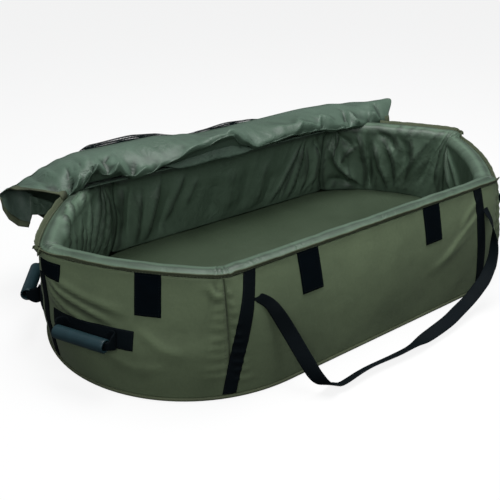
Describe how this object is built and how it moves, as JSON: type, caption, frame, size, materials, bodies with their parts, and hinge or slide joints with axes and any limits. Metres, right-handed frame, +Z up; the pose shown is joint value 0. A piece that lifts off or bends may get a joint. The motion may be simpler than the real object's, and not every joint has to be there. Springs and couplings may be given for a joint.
{
  "type": "unhooking mat",
  "caption": "Padded six-sided cradle unhooking mat with a fold-back mesh lid, carry straps and end handles with tube grips.",
  "frame": {"origin": "on the ground, under the middle of the mat's base", "axes": "+X along the mat, +Y towards the long side the lid is sewn to, +Z up"},
  "size_m": [1.2658, 0.8108, 0.3076],
  "materials": {
    "black_hook_tape": "fine hooks",
    "black_loop_tape": "napped loops",
    "black_mesh": "open mesh",
    "black_webbing": "woven webbing",
    "closed_cell_foam": "matt foam",
    "floor_lining": "coated, slightly shiny",
    "green_lining": "coated, slightly shiny",
    "ground_cloth": "coated",
    "lid_nylon": "coated weave, slightly shiny",
    "olive_binding": "woven tape",
    "olive_nylon": "coated weave",
    "slate_rubber": "satin"
  },
  "bodies": {
    "tub": {"back_cover": "olive_nylon", "back_left_strap": "black_webbing", "back_lining": "green_lining", "back_right_strap": "black_webbing", "back_wall_foam": "closed_cell_foam", "base_piping": "black_webbing", "floor_lining": "floor_lining", "floor_pad_foam": "closed_cell_foam", "front_cover": "olive_nylon", "front_left_loop_patch": "black_loop_tape", "front_left_strap": "black_webbing", "front_lining": "green_lining", "front_right_loop_patch": "black_loop_tape", "front_right_strap": "black_webbing", "front_wall_foam": "closed_cell_foam", "ground_sheet": "ground_cloth", "left_back_handle_band": "black_webbing", "left_back_lining": "green_lining", "left_back_wall_foam": "closed_cell_foam", "left_corner_loop_patch": "black_loop_tape", "left_end_cover": "olive_nylon", "left_front_handle_band": "black_webbing", "left_front_lining": "green_lining", "left_front_wall_foam": "closed_cell_foam", "left_tip_loop_patch": "black_loop_tape", "left_tip_webbing": "black_webbing", "lid_rear_panel": "lid_nylon", "right_back_handle_band": "black_webbing", "right_back_lining": "green_lining", "right_back_wall_foam": "closed_cell_foam", "right_corner_loop_patch": "black_loop_tape", "right_end_cover": "olive_nylon", "right_front_handle_band": "black_webbing", "right_front_lining": "green_lining", "right_front_wall_foam": "closed_cell_foam", "right_tip_loop_patch": "black_loop_tape", "right_tip_webbing": "black_webbing", "rim_binding_back": "olive_binding", "rim_binding_front": "olive_binding"},
    "lid_middle": {"lid_left_end_hem": "olive_binding", "lid_middle_panel": "lid_nylon", "lid_right_end_hem": "olive_binding"},
    "lid_flap": {"lid_flap_border": "lid_nylon", "lid_flap_hem": "olive_binding", "lid_front_left_hook_patch": "black_hook_tape", "lid_front_right_hook_patch": "black_hook_tape", "lid_left_corner_hook_patch": "black_hook_tape", "lid_mesh_window": "black_mesh", "lid_right_corner_hook_patch": "black_hook_tape"},
    "front_carry_strap": {"front_carry_strap": "black_webbing"},
    "back_carry_strap": {"back_carry_strap": "black_webbing"},
    "left_front_handle": {"left_front_handle_grip": "slate_rubber", "left_front_handle_loop": "black_webbing"},
    "left_back_handle": {"left_back_handle_grip": "slate_rubber", "left_back_handle_loop": "black_webbing"},
    "right_front_handle": {"right_front_handle_grip": "slate_rubber", "right_front_handle_loop": "black_webbing"},
    "right_back_handle": {"right_back_handle_grip": "slate_rubber", "right_back_handle_loop": "black_webbing"}
  },
  "joints": [
    {"name": "lid_fold", "type": "hinge", "parent": "tub", "child": "lid_middle", "pos_m": [0, 0.162, 0.262], "axis": [1, 0, 0], "range_deg": [0, 155]},
    {"name": "lid_unfold", "type": "hinge", "parent": "lid_middle", "child": "lid_flap", "pos_m": [0, 0.338, 0.292], "axis": [1, 0, 0], "range_deg": [0, 116], "deforming": ["lid_flap_border", "lid_flap_hem", "lid_front_left_hook_patch", "lid_front_right_hook_patch", "lid_left_corner_hook_patch", "lid_mesh_window", "lid_right_corner_hook_patch"]},
    {"name": "front_carry_lift", "type": "hinge", "parent": "tub", "child": "front_carry_strap", "pos_m": [0, -0.30332, 0.21], "axis": [-1, 0, 0], "range_deg": [0, 125]},
    {"name": "back_carry_lift", "type": "hinge", "parent": "tub", "child": "back_carry_strap", "pos_m": [0, 0.30332, 0.21], "axis": [1, 0, 0], "range_deg": [0, 120]},
    {"name": "left_front_handle_lift", "type": "hinge", "parent": "tub", "child": "left_front_handle", "pos_m": [-0.56445, -0.11584, 0.117], "axis": [-0.4752, 0.8799, 0], "range_deg": [0, 65]},
    {"name": "left_back_handle_lift", "type": "hinge", "parent": "tub", "child": "left_back_handle", "pos_m": [-0.56445, 0.11584, 0.117], "axis": [0.4752, 0.8799, 0], "range_deg": [0, 65]},
    {"name": "right_front_handle_lift", "type": "hinge", "parent": "tub", "child": "right_front_handle", "pos_m": [0.56445, -0.11584, 0.117], "axis": [-0.4752, -0.8799, 0], "range_deg": [0, 65]},
    {"name": "right_back_handle_lift", "type": "hinge", "parent": "tub", "child": "right_back_handle", "pos_m": [0.56445, 0.11584, 0.117], "axis": [0.4752, -0.8799, 0], "range_deg": [0, 65]}
  ],
  "couplings": [
    {"joint": "lid_unfold", "follows": "lid_fold", "ratio": 0.74194}
  ]
}
